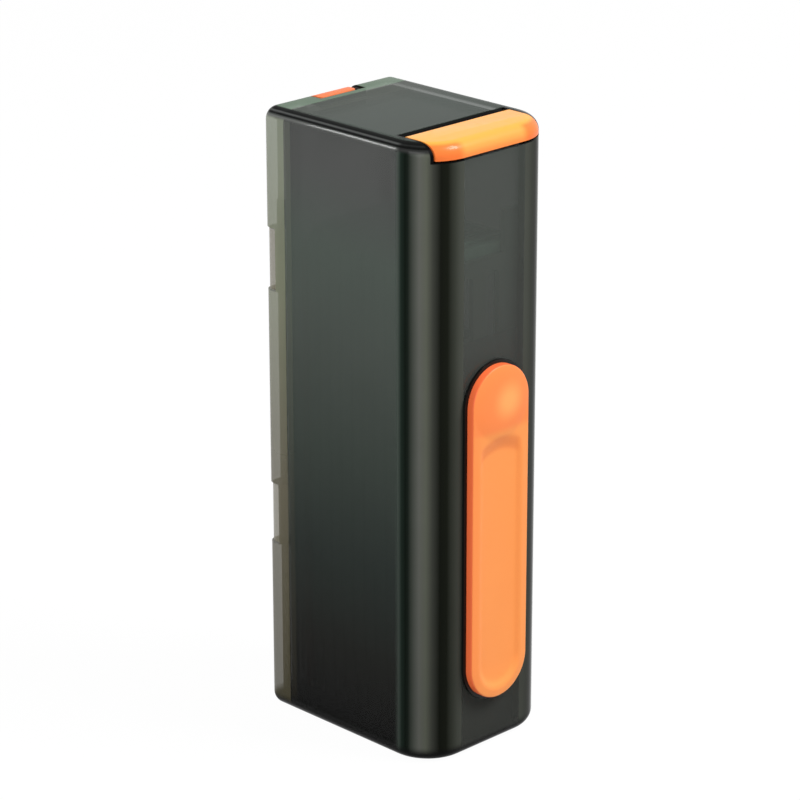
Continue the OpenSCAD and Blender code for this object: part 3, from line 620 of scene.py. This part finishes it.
class Bench:
    """One piece on the bench: a mesh that operators shape, in millimetres of the object's frame."""

    def __init__(self, name: str) -> None:
        """Starts a piece of that name."""
        self.name = name
        self.obj: bpy.types.Object | None = None

    @staticmethod
    def _lay_down_tools() -> None:
        """Leaves edit mode and selects nothing."""
        if bpy.context.object and bpy.context.object.mode != "OBJECT":
            bpy.ops.object.mode_set(mode="OBJECT")
        bpy.ops.object.select_all(action="DESELECT")

    def hold(self) -> None:
        """Makes the piece the only selected object."""
        self._lay_down_tools()
        self.obj.select_set(True)
        bpy.context.view_layer.objects.active = self.obj

    def add(self, primitive: Callable, **options: object) -> "Bench":
        """Adds a primitive.

        Args:
            primitive: the operator that adds it.
            options: its size and place.

        Returns:
            The bench.
        """
        self._lay_down_tools()
        primitive(**options)
        new = bpy.context.object
        bpy.ops.object.transform_apply(location=True, rotation=True, scale=True)
        if self.obj is None:
            self.obj = new
            new.name = self.name
        else:
            self.obj.select_set(True)
            bpy.context.view_layer.objects.active = self.obj
            bpy.ops.object.join()
        return self

    def block(self, low: Point, high: Point) -> "Bench":
        """Adds a block.

        Args:
            low: its lowest corner.
            high: its highest corner.

        Returns:
            The bench.
        """
        middle = [(a + b) / 2 for a, b in zip(low, high)]
        size = [b - a for a, b in zip(low, high)]
        return self.add(bpy.ops.mesh.primitive_cube_add, size=1, location=middle, scale=size)

    def drum(self, start: Point, length: float, radius: float, sides: int, along: str) -> "Bench":
        """Adds a drum.

        Args:
            start: the middle of its first end.
            length: its length.
            radius: its radius.
            sides: how many faces it has round it.
            along: the axis that it runs along: X, Y or Z.

        Returns:
            The bench.
        """
        step = "XYZ".index(along)
        middle = [c + (length / 2 if i == step else 0) for i, c in enumerate(start)]
        turns = {"X": (0, math.pi / 2, 0), "Y": (math.pi / 2, 0, 0), "Z": (0, 0, 0)}
        return self.add(bpy.ops.mesh.primitive_cylinder_add, radius=radius, depth=length,
                        vertices=sides, location=middle, rotation=turns[along])

    def choose(self, kind: str, test: Callable[[Vector, Vector], bool]) -> "Bench":
        """Selects in edit mode what passes a test.

        Args:
            kind: FACE, EDGE or VERT.
            test: takes the middle and the normal, or an edge's direction.

        Returns:
            The bench.
        """
        if bpy.context.object != self.obj or self.obj.mode != "EDIT":
            self.hold()
            bpy.ops.object.mode_set(mode="EDIT")
        bpy.ops.mesh.select_mode(type=kind)
        bpy.ops.mesh.select_all(action="DESELECT")
        mesh = bmesh.from_edit_mesh(self.obj.data)
        if kind == "FACE":
            chosen = [f for f in mesh.faces if test(f.calc_center_median(), f.normal)]
        elif kind == "EDGE":
            chosen = [e for e in mesh.edges
                      if test((e.verts[0].co + e.verts[1].co) / 2,
                              (e.verts[1].co - e.verts[0].co).normalized())]
        else:
            chosen = [v for v in mesh.verts if test(v.co, v.normal)]
        for item in chosen:
            item.select_set(True)
        mesh.select_flush_mode()
        bmesh.update_edit_mesh(self.obj.data)
        return self

    def do(self, operator: Callable, **options: object) -> "Bench":
        """Runs an operator on what is selected."""
        operator(**options)
        return self

    def push(self, *way: float) -> "Bench":
        """Extrudes the selected faces by a vector."""
        return self.do(bpy.ops.mesh.extrude_region_move, TRANSFORM_OT_translate={"value": way})

    def move(self, *way: float) -> "Bench":
        """Moves what is selected."""
        return self.do(bpy.ops.transform.translate, value=way)

    def round_off(self, radius: float, segments: int) -> "Bench":
        """Rounds the selected edges."""
        return self.do(bpy.ops.mesh.bevel, offset=radius, segments=segments, affect="EDGES",
                       clamp_overlap=True)

    def cut(self, point: Point, normal: Point, keep_all: bool = False) -> "Bench":
        """Cuts the whole mesh by a plane and closes it, dropping the side that the normal faces."""
        self.choose("FACE", lambda middle, face_normal: True)
        return self.do(bpy.ops.mesh.bisect, plane_co=point, plane_no=normal, threshold=1e-5,
                       use_fill=not keep_all, clear_outer=not keep_all)

    def line(self, axis: str, places: Iterable[float]) -> "Bench":
        """Adds edge lines across the mesh.

        Args:
            axis: the axis that they are square to: X, Y or Z.
            places: where they cross it.

        Returns:
            The bench.
        """
        step = "XYZ".index(axis)
        normal = tuple(1.0 if i == step else 0.0 for i in range(3))
        for place in places:
            self.cut(tuple(place * n for n in normal), normal, keep_all=True)
        return self

    def relief(self, test: Callable[[Vector, Vector], bool],
               height: Callable[[float, float], float]) -> "Bench":
        """Raises chosen points of a front face.

        Args:
            test: chooses the points by place and normal.
            height: how far a point at x and z stands forward.

        Returns:
            The bench.
        """
        self.choose("VERT", test)
        mesh = bmesh.from_edit_mesh(self.obj.data)
        for point in mesh.verts:
            if point.select:
                point.co.y -= height(point.co.x, point.co.z)
        bmesh.update_edit_mesh(self.obj.data)
        return self

    def combine(self, other: "Bench", operation: str) -> "Bench":
        """Unites the piece with another, or takes the other out of it.

        Args:
            other: the other piece, which is used up.
            operation: UNION or DIFFERENCE.

        Returns:
            The bench.
        """
        self.hold()
        step = self.obj.modifiers.new("combine", "BOOLEAN")
        step.operation = operation
        step.solver = "EXACT"
        step.object = other.obj
        bpy.ops.object.modifier_apply(modifier=step.name)
        bpy.data.objects.remove(other.obj)
        return self

    def soften(self, width: float, segments: int = 2, angle: float = 35.0) -> "Bench":
        """Rounds every sharp edge.

        Args:
            width: width of the rounding.
            segments: its steps.
            angle: the angle in degrees from which an edge is sharp.

        Returns:
            The bench.
        """
        self.hold()
        step = self.obj.modifiers.new("soften", "BEVEL")
        step.width = width
        step.segments = segments
        step.limit_method = "ANGLE"
        step.angle_limit = math.radians(angle)
        bpy.ops.object.modifier_apply(modifier=step.name)
        return self

    def borrow(self, node: str) -> "Bench":
        """Starts from a merged copy of a CAD solid.

        Args:
            node: name of its node.

        Returns:
            The bench.
        """
        self._lay_down_tools()
        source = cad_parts[node]
        self.obj = bpy.data.objects.new(self.name, source.data.copy())
        bpy.context.scene.collection.objects.link(self.obj)
        self.obj.scale = (1 / MM, 1 / MM, 1 / MM)
        self.hold()
        bpy.ops.object.transform_apply(location=True, rotation=True, scale=True)
        if self.obj.data.has_custom_normals:
            bpy.ops.mesh.customdata_custom_splitnormals_clear()
        return self.weld()

    def weld(self) -> "Bench":
        """Merges points that lie in one place.

        Returns:
            The bench itself.
        """
        self.choose("VERT", lambda place, normal: True)
        return self.do(bpy.ops.mesh.remove_doubles, threshold=WELD)

    def join(self, other: "Bench") -> "Bench":
        """Takes another piece's mesh into this one."""
        self.hold()
        other.obj.select_set(True)
        return self.do(bpy.ops.object.join)

    def copy(self, name: str, way: Point) -> "Bench":
        """Copies the piece with its own mesh.

        Args:
            name: name of the copy.
            way: how far it is moved, in millimetres.

        Returns:
            A bench with the copy on it.
        """
        twin = Bench(name)
        twin.obj = self.obj.copy()
        twin.obj.data = self.obj.data.copy()
        twin.obj.name = name
        bpy.context.scene.collection.objects.link(twin.obj)
        twin.choose("VERT", lambda place, normal: True).move(*way)
        return twin

    def done(self, body: str, finish: Finish, *nodes: str,
             angle: float = 32.0) -> bpy.types.Object:
        """Turns the piece into metres, dresses it and says what carries it.

        Args:
            body: the body that it rides on.
            finish: its finish.
            nodes: the CAD nodes that it stands for.
            angle: the angle in degrees up to which its faces are shaded as one.

        Returns:
            The finished object.
        """
        self.weld()
        bpy.ops.mesh.select_all(action="SELECT")
        bpy.ops.mesh.normals_make_consistent(inside=False)
        self.hold()
        self.obj.scale = (MM, MM, MM)
        bpy.ops.object.transform_apply(location=True, rotation=True, scale=True)
        bpy.ops.object.shade_smooth_by_angle(angle=math.radians(angle))
        dress(self.obj, finish)
        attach(self.obj, body)
        if nodes:
            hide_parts(*nodes)
        LOG.info("made %s on %s", self.name, body)
        return self.obj


@dataclass
class OuterForm:
    """The case's outer form, from which the lid and the latch tab are cut."""

    width: float = 26.2
    depth: float = 34.2
    height: float = 94.0
    front_corner: float = 7.0
    rear_corner: float = 2.0
    edge: float = 2.0

    def blank(self, name: str, low: Point, high: Point) -> Bench:
        """Cuts a blank out of the outer form.

        Args:
            name: name of the piece.
            low: lowest corner of what is kept.
            high: highest corner of what is kept.

        Returns:
            The bench with the blank on it.
        """
        half = (self.width / 2, self.depth / 2)
        bench = Bench(name).block((-half[0], -half[1], 0), (*half, self.height))
        for side, radius, segments in ((-1, self.front_corner, 24), (1, self.rear_corner, 8)):
            bench.choose("EDGE", lambda middle, way: abs(way.z) > UPRIGHT
                         and middle.y * side > half[1] - NEAR)
            bench.round_off(radius, segments)
        bench.choose("EDGE", lambda middle, way: middle.z > self.height - NEAR)
        bench.round_off(self.edge, 12)
        for step in range(3):
            normal = [0.0, 0.0, 0.0]
            for end, sign in ((high, 1.0), (low, -1.0)):
                normal[step] = sign
                point = [c if i == step else 0.0 for i, c in enumerate(end)]
                bench.cut(tuple(point), tuple(normal))
        return bench


@dataclass
class CaseShell:
    """The smoke case, with its latch notch closed up to the size of the tab."""

    notch_left: float = -5.55
    notch_right: float = 5.75
    notch_front: float = 11.75
    tab_left: float = -4.6
    tab_right: float = 4.5
    tab_front: float = 13.4
    roof_low: float = 92.7

    def build(self) -> None:
        """Builds the case from a merged copy of the solid."""
        bench = Bench("smoke_case").borrow("case_shell")
        for low_x, high_x, high_y in ((self.notch_left, self.notch_right, self.tab_front),
                                      (self.notch_left, self.tab_left, BEYOND),
                                      (self.tab_right, self.notch_right, BEYOND)):
            plug = OuterForm().blank("plug", (low_x, self.notch_front, self.roof_low),
                                     (high_x, high_y, ABOVE))
            bench.combine(plug, "UNION")
        bench.done("case", Finish.CASE, "case_shell", angle=28)


@dataclass
class FlipLid:
    """The orange lid over the mouth, hollow beneath, with its hinge barrel at the rear."""

    half_width: float = 10.35
    rear: float = -8.85
    bottom: float = 91.6
    top: float = 94.0
    barrel: float = 1.2
    bore: float = 0.65
    rib: float = 0.6
    plate: float = 1.4
    soft: float = 0.16

    def build(self) -> None:
        """Builds the lid."""
        low = (-self.half_width, -BEYOND, self.bottom)
        high = (self.half_width, self.rear, ABOVE)
        bench = OuterForm().blank("lid_cap", low, high)
        bench.choose("EDGE", lambda middle, way: abs(way.x) > UPRIGHT
                     and middle.y > self.rear - NEAR)
        bench.round_off(self.barrel, 10)
        hollow_rear = self.rear - 2 * self.barrel
        bench.line("Y", [hollow_rear])
        bench.choose("FACE", lambda middle, normal: normal.z < -UPRIGHT
                     and middle.y < hollow_rear)
        bench.do(bpy.ops.mesh.inset, thickness=self.rib)
        bench.push(0, 0, self.top - self.bottom - self.plate)
        start = (-self.half_width - 1, self.rear - self.barrel, self.top - self.barrel)
        pin = Bench("bore").drum(start, 2 * self.half_width + 2, self.bore, 24, "X")
        bench.combine(pin, "DIFFERENCE").soften(self.soft, 3)
        bench.done("lid", Finish.LID, "flip_lid")


@dataclass
class LatchTab:
    """The orange latch tab with the stem that holds it in the door."""

    left: float = -4.2
    right: float = 3.0
    front: float = 13.75
    bottom: float = 92.7
    stem_left: float = -3.5
    stem_right: float = 2.5
    stem_rear: float = 14.9
    stem_front: float = 14.1
    stem_bottom: float = 86.8
    stem_sink: float = 0.4
    stem_step: float = 0.3
    corner: float = 0.7
    soft: float = 0.22

    def build(self) -> None:
        """Builds the tab."""
        bench = OuterForm().blank("latch_button", (self.left, self.front, self.bottom),
                                  (self.right, BEYOND, ABOVE))
        bench.choose("EDGE", lambda middle, way: abs(way.z) > UPRIGHT
                     and middle.y < self.front + NEAR)
        bench.round_off(self.corner, 6)
        stem = Bench("stem").block((self.stem_left, self.stem_front, self.stem_bottom),
                                   (self.stem_right, self.stem_rear,
                                    self.bottom + self.stem_sink))
        stem.choose("FACE", lambda middle, normal: normal.z < -UPRIGHT)
        stem.do(bpy.ops.mesh.inset, thickness=0.2).move(0, 0, -self.stem_step)
        bench.combine(stem, "UNION").soften(self.soft, 3)
        bench.done("latch", Finish.ORANGE, "latch_tab")


@dataclass
class ThumbPad:
    """The thumb pad: a long rounded button with a lip, a thumb groove and a brow above it."""

    radius: float = 5.75
    low: float = 8.5
    high: float = 60.1
    back: float = -17.6
    front: float = -18.8
    edge: float = 0.25
    lip: float = 0.12
    lip_at: float = 4.35
    groove_at: float = 3.35
    groove: float = 0.5
    wall_share: float = 0.76
    brow: float = 0.4
    brow_reach: float = 5.55
    brow_foot: float = 47.1
    brow_edge: float = 49.7
    brow_fall: float = 1.6
    edge_fall: float = 1.1
    lines_x: float = 0.3
    lines_z: float = 0.4

    def height(self, x: float, z: float) -> float:
        """How far the pad's face stands in front of its plain level.

        Args:
            x: place across the pad.
            z: place up the pad.

        Returns:
            The height, below zero in the groove.
        """
        lower = self.low + self.radius
        upper = self.high - self.radius
        out = math.hypot(x, max(0.0, lower - z))
        if out > self.lip_at:
            trough = self.lip * smooth(self.radius - self.edge, self.lip_at, out)
        elif out > self.groove_at:
            drop = self.lip + self.groove * self.wall_share
            trough = self.lip - drop * smooth(self.lip_at, self.groove_at, out)
        else:
            floor = 1 - (out / self.groove_at) ** 2
            trough = -self.groove * (self.wall_share + (1 - self.wall_share) * floor)
        bow = (abs(x) / self.lip_at) ** 2
        share = smooth(self.brow_foot - self.brow_fall * bow,
                       self.brow_edge - self.edge_fall * bow, z)
        reach = min(1.0, math.hypot(x, z - upper) / self.brow_reach)
        dome = self.brow * (1 - reach ** 3)
        side = self.lip * smooth(self.radius - self.edge, self.lip_at, abs(x))
        low_share = 1 - smooth(upper - 6, upper - 2, z)
        crown = dome * (1 - 0.2 * low_share) + side * low_share * 0.3
        return trough * (1 - share) + crown * share

    def build(self) -> None:
        """Builds the pad."""
        bench = Bench("thumb_pad").drum((0, self.front, self.low + self.radius),
                                        self.back - self.front, self.radius, 130, "Y")
        middle = self.low + self.radius
        bench.choose("VERT", lambda place, normal: place.z > middle)
        bench.move(0, 0, self.high - self.low - 2 * self.radius)
        bench.choose("EDGE", lambda place, way: place.y < self.front + NEAR)
        bench.round_off(self.edge, 4)
        bench.line("X", [self.lines_x * i for i in range(-18, 19)])
        close = [44 + self.lines_z * i for i in range(40)]
        bench.line("Z", [9 + 0.5 * i for i in range(12)] + [16, 20, 26, 32, 38, 42, 43] + close)
        inside = self.radius - self.edge - 0.02
        bench.relief(lambda place, normal: place.y < self.front + WELD
                     and self._inside(place, inside), self.height)
        bench.done("slider", Finish.PAD, "slider_pad", angle=40)

    def _inside(self, place: Vector, reach: float) -> bool:
        """Tells whether a point lies within the level part of the face."""
        middle = min(max(place.z, self.low + self.radius), self.high - self.radius)
        return math.hypot(place.x, place.z - middle) < reach


@dataclass
class FlossPick:
    """A floss pick: a flat handle with a toothpick tail, grip grooves and a bow with two arms."""

    left: float = -9.2
    right: float = 9.2
    low: float = 2.4
    high: float = 76.5
    thick: float = 2.0
    first_y: float = -13.5
    pitch: float = 2.3
    count: int = 11
    handle: float = 2.8
    bow_low: float = 57.5
    arm: float = 2.6
    bow_corner: float = 4.0
    inner_corner: float = 2.2
    tail: float = 15.0
    grip_low: float = 22.0
    grip_high: float = 48.0
    grip_step: float = 1.3
    grip_rib: float = 0.22
    grip_depth: float = 0.18
    soft: float = 0.28
    floss_x: float = 7.5
    floss_r: float = 0.3
    floss_flat: float = 0.55

    def blank(self) -> Bench:
        """Models the first pick.

        Returns:
            The bench with the pick on it.
        """
        y0, y1 = self.first_y, self.first_y + self.thick
        middle = (self.left + self.handle / 2, (y0 + y1) / 2, 0)
        inner = self.left + self.handle
        shoulder = self.low + self.tail
        bench = Bench("front_floss_pick").block((self.left, y0, shoulder), (inner, y1, self.high))
        bench.line("Z", [self.bow_low, self.bow_low + self.arm, self.high - self.arm])
        for low in (self.bow_low, self.high - self.arm):
            bench.choose("FACE", lambda place, normal: normal.x > UPRIGHT
                         and low < place.z < low + self.arm)
            bench.push(self.right - inner, 0, 0)
        bench.choose("EDGE", lambda place, way: abs(way.y) > UPRIGHT
                     and place.x < self.left + NEAR and place.z > self.high - NEAR)
        bench.round_off(self.bow_corner, 10)
        bench.choose("EDGE", lambda place, way: abs(way.y) > UPRIGHT
                     and abs(place.x - inner) < NEAR
                     and self.bow_low + NEAR < place.z < self.high - NEAR)
        bench.round_off(self.inner_corner, 8)
        bench.choose("EDGE", lambda place, way: abs(way.y) > UPRIGHT
                     and place.x > self.right - NEAR)
        bench.round_off(self.arm / 2 - 0.02, 8)
        bench.choose("FACE", lambda place, normal: normal.z < -UPRIGHT
                     and place.z < shoulder + NEAR and place.x < inner)
        for wide, flat in ((0.72, 0.95), (0.6, 0.8)):
            bench.push(0, 0, -self.tail / 2)
            bench.do(bpy.ops.transform.resize, value=(wide, flat, 1), center_override=middle)
        steps = int((self.grip_high - self.grip_low) / self.grip_step)
        bench.line("Z", [self.grip_low + self.grip_step * i for i in range(steps + 1)])
        for step in range(0, steps, 2):
            low = self.grip_low + self.grip_step * step
            bench.choose("FACE", lambda place, normal: abs(normal.y) > UPRIGHT
                         and low < place.z < low + self.grip_step)
            bench.do(bpy.ops.mesh.inset, thickness=self.grip_rib, depth=-self.grip_depth,
                     use_individual=True)
        return bench.soften(self.soft, 2)

    def strand(self) -> Bench:
        """Models the floss of the first pick, with a collar where it enters each arm.

        Returns:
            The bench with the strand on it.
        """
        low, high = self.bow_low + self.arm, self.high - self.arm
        start = (self.floss_x, self.first_y + self.thick / 2, low)
        bench = Bench("front_pick_strand").drum(start, high - low, self.floss_r, 14, "Z")
        bench.line("Z", [low + 0.35, low + 0.9, high - 0.9, high - 0.35])
        bench.choose("VERT", lambda place, normal: low + 0.6 < place.z < high - 0.6)
        return bench.do(bpy.ops.transform.resize, value=(self.floss_flat, 1.0, 1.0),
                        center_override=start)

    def build(self) -> None:
        """Models one pick and its floss and copies both through the stack."""
        first, strand = self.blank(), self.strand()
        strands = Bench("stack_strands")
        for index in range(2, self.count + 1):
            way = (0, (index - 1) * self.pitch, 0)
            node = f"stack_pick_{index}"
            first.copy(f"floss_pick_{index}", way).done("case", Finish.PICK, node)
            twin = strand.copy(f"strand_{index}", way)
            if strands.obj is None:
                strands.obj = twin.obj
                strands.obj.name = strands.name
            else:
                strands.join(twin)
        first.done("pick", Finish.PICK, "front_pick")
        strand.done("pick", Finish.FLOSS, "front_pick_floss")
        strands.done("case", Finish.FLOSS, "stack_floss_strands")


@dataclass
class FollowerSpring:
    """A flat conical spring of round wire between the follower plate and the door."""

    name: str
    node: str
    z: float
    start_y: float = 12.98
    end_y: float = 15.3
    small: float = 1.8
    large: float = 4.2
    turns: float = 3.5
    wire: float = 0.25
    plate_y: float = 12.7
    press: float = 0.9
    points: int = 126

    def build(self) -> None:
        """Winds the spring."""
        curve = bpy.data.curves.new(self.name, "CURVE")
        curve.dimensions = "3D"
        curve.bevel_depth = self.wire
        curve.bevel_resolution = 2
        curve.use_fill_caps = True
        rise, spread = self.end_y - self.start_y, self.large - self.small
        path = curve.splines.new("POLY")
        path.points.add(self.points - 1)
        for index, point in enumerate(path.points):
            share = index / (self.points - 1)
            angle = 2 * math.pi * self.turns * share
            radius = self.small + spread * share
            point.co = (radius * math.cos(angle), self.start_y + rise * share,
                        self.z + radius * math.sin(angle), 1)
        bench = Bench(self.name)
        bench.obj = bpy.data.objects.new(self.name, curve)
        bpy.context.scene.collection.objects.link(bench.obj)
        bench.hold()
        bpy.ops.object.convert(target="MESH")
        bench.obj = bpy.context.object
        spring = bench.done("follower", Finish.STEEL, self.node)
        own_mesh(spring)


@dataclass
class HingePin:
    """A steel hinge pin with chamfered ends and a shallow ring near its far end."""

    name: str
    node: str
    start: Point
    length: float
    radius: float
    axis: str
    chamfer: float = 0.18
    ring_in: float = 1.2
    ring_half: float = 0.3
    ring_end: float = 0.35
    ring_neck: float = 0.86

    def build(self) -> None:
        """Turns the pin."""
        step = "XYZ".index(self.axis)
        place = self.start[step] + self.length - self.ring_in
        bench = Bench(self.name).drum(self.start, self.length, self.radius, 32, self.axis)
        bench.line(self.axis, [place + way for way in (-self.ring_end, -self.ring_half,
                                                       self.ring_half, self.ring_end)])
        bench.choose("VERT", lambda point, normal: abs(point[step] - place) < self.ring_half + NEAR)
        size = tuple(1.0 if i == step else self.ring_neck for i in range(3))
        bench.do(bpy.ops.transform.resize, value=size, center_override=self.start)
        bench.soften(self.chamfer, 2, 60).done("case", Finish.STEEL, self.node)


@dataclass
class Studio:
    """Camera, floor, sky and lamps."""

    eye: Vector = Vector((-0.32858, -0.33095, 0.21972))
    azimuth: float = -44.635
    elevation: float = 19.993
    roll: float = -0.064
    lens: float = 152.06
    sensor: float = 36.0
    middle: Vector = Vector((0, 0, 0.045))
    floor_size: float = 6.0
    floor_drop: float = 0.0001
    paint: float = 0.35
    floor_glow: float = 1.06
    glow_share: float = 0.92
    sky_light: float = 0.4
    layers: int = 32

    def camera(self) -> None:
        """Sets the camera at the photograph's viewing angle."""
        data = bpy.data.cameras.new("camera")
        data.lens = self.lens
        data.sensor_width = self.sensor
        data.clip_start = 0.01
        data.clip_end = 20.0
        camera = bpy.data.objects.new("camera", data)
        turn = (Matrix.Rotation(math.radians(self.azimuth), 4, "Z")
                @ Matrix.Rotation(math.radians(90 - self.elevation), 4, "X")
                @ Matrix.Rotation(math.radians(self.roll), 4, "Z"))
        camera.matrix_world = Matrix.Translation(self.eye) @ turn
        bpy.context.scene.collection.objects.link(camera)
        bpy.context.scene.camera = camera

    def floor(self) -> None:
        """Lays a white floor that keeps a faint shadow."""
        bpy.ops.mesh.primitive_plane_add(size=self.floor_size, location=(0, 0, -self.floor_drop))
        floor = bpy.context.object
        floor.name = "floor"
        tree = Tree(bpy.data.materials.new("floor_white"))
        paint = tree.node("ShaderNodeBsdfDiffuse", inputs={"Color": (*[self.paint] * 3, 1)})
        glow = tree.node("ShaderNodeEmission", inputs={"Strength": self.floor_glow})
        tree.finish(tree.node("ShaderNodeMixShader",
                              inputs={0: self.glow_share * tree.seen(), 1: paint, 2: glow}))
        floor.data.materials.append(tree.owner)

    def sky(self) -> None:
        """Sets a white sky that lights softly."""
        bpy.context.scene.world = bpy.data.worlds.new("sky")
        tree = Tree(bpy.context.scene.world)
        strength = self.sky_light + (1 - self.sky_light) * tree.seen()
        white = {"Color": (1, 1, 1, 1), "Strength": strength}
        tree.finish(tree.node("ShaderNodeBackground", inputs=white), "ShaderNodeOutputWorld")

    def lamp(self, name: str, place: Vector, size: tuple[float, float], power: float) -> None:
        """Hangs a soft lamp that faces the middle of the box.

        Args:
            name: name of the lamp.
            place: where it hangs.
            size: its width and height.
            power: in watts.
        """
        data = bpy.data.lights.new(name, "AREA")
        data.shape = "RECTANGLE"
        data.size, data.size_y = size
        data.energy = power
        lamp = bpy.data.objects.new(name, data)
        lamp.location = place
        aim = self.middle - place
        lamp.rotation_euler = aim.to_track_quat("-Z", "Y").to_euler()
        bpy.context.scene.collection.objects.link(lamp)

    def build(self) -> None:
        """Builds the whole studio."""
        self.camera()
        self.floor()
        self.sky()
        self.lamp("key_lamp", Vector((0.28, -0.44, 0.645)), (0.3, 0.3), 6.0)
        self.lamp("fill_lamp", Vector((-0.7, -0.2, 0.3)), (0.5, 0.5), 2.4)
        self.lamp("edge_lamp", Vector((-0.38, 0.40, 0.33)), (0.09, 0.09), 0.4)
        bpy.context.scene.view_settings.view_transform = "Standard"
        bpy.context.scene.cycles.transparent_max_bounces = self.layers


@dataclass
class PlainPieces:
    """The pieces that keep their CAD shape."""

    finishes = {
        "magazine_liner": Finish.LINER, "guide_plate": Finish.GUIDE,
        "slider_carriage": Finish.BLACK, "slider_sled": Finish.SLED, "rear_door": Finish.DOOR,
        "follower_plate": Finish.ORANGE,
    }

    def build(self) -> None:
        """Dresses the CAD nodes."""
        for name, finish in self.finishes.items():
            dress(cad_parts[name], finish)
            LOG.info("dressed %s", name)


def main() -> None:
    """Builds the studio and the box."""
    logging.basicConfig(level=logging.INFO)
    Studio().build()
    PlainPieces().build()
    CaseShell().build()
    FlipLid().build()
    ThumbPad().build()
    LatchTab().build()
    FlossPick().build()
    HingePin("lid_pin", "lid_hinge_pin", (-12.07, -10.05, 92.8), 24.14, 0.6, "X").build()
    HingePin("door_pin", "door_hinge_pin", (-11.1, 15.1, 2.0), 77.8, 0.55, "Z").build()
    FollowerSpring("upper_spring", "upper_follower_spring", 58.0).build()
    FollowerSpring("lower_spring", "lower_follower_spring", 22.0).build()


if __name__ == "__main__":
    main()
